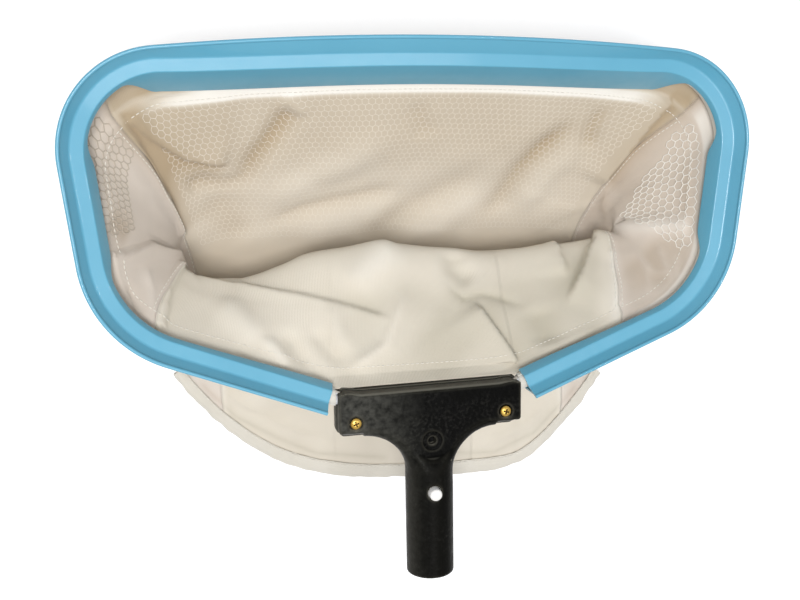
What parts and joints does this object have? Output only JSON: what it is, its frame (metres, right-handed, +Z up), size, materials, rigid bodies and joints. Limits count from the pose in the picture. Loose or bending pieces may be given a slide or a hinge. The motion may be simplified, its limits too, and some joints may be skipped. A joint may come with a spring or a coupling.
{
  "type": "leaf skimmer net",
  "caption": "Pool leaf net: a moulded edge on a rod frame holds a sewn cloth and mesh bag, and a T-handle with a sprung latch enters a telescopic pole.",
  "frame": {"origin": "on the ground, under the middle of the part's bounding box", "axes": "+X to the right across the mouth, +Y towards the leading side, away from the handle, +Z up out of the mouth"},
  "size_m": [0.3998, 0.3212, 0.1163],
  "materials": {
    "edge_plastic": "smooth semi-gloss blue",
    "rod_metal": "drawn",
    "hem_cloth": "woven tape",
    "bag_cloth": "fine knitted mesh",
    "net_cloth": "hexagonal net",
    "handle_plastic": "satin black",
    "screw_brass": "yellow passivated",
    "latch_plastic": "white moulded"
  },
  "bodies": {
    "net": {"rim_edge": "edge_plastic", "frame_rod": "rod_metal", "hem_tape": "hem_cloth", "bag_long_panel": "bag_cloth", "bag_near_panel": "bag_cloth", "bag_left_gusset": "bag_cloth", "bag_right_gusset": "bag_cloth", "net_left": "net_cloth", "net_right": "net_cloth", "net_far": "net_cloth", "end_seam_binding": "hem_cloth", "handle_body": "handle_plastic", "handle_back_plate": "handle_plastic", "screw_left": "screw_brass", "screw_right": "screw_brass", "nut_left": "screw_brass", "nut_right": "screw_brass", "clip_bow": "latch_plastic", "clip_arm_front": "latch_plastic", "clip_arm_rear": "latch_plastic"},
    "front_button": {"clip_button_front": "latch_plastic"},
    "rear_button": {"clip_button_rear": "latch_plastic"}
  },
  "joints": [
    {"name": "front_press", "type": "slide", "parent": "net", "child": "front_button", "axis": [0, 0, -1], "range_m": [0, 0.004], "stiffness_N_per_m": 800, "deforming": ["clip_arm_front"]},
    {"name": "rear_press", "type": "slide", "parent": "net", "child": "rear_button", "axis": [0, 0, 1], "range_m": [0, 0.004], "stiffness_N_per_m": 800, "deforming": ["clip_arm_rear"]}
  ]
}
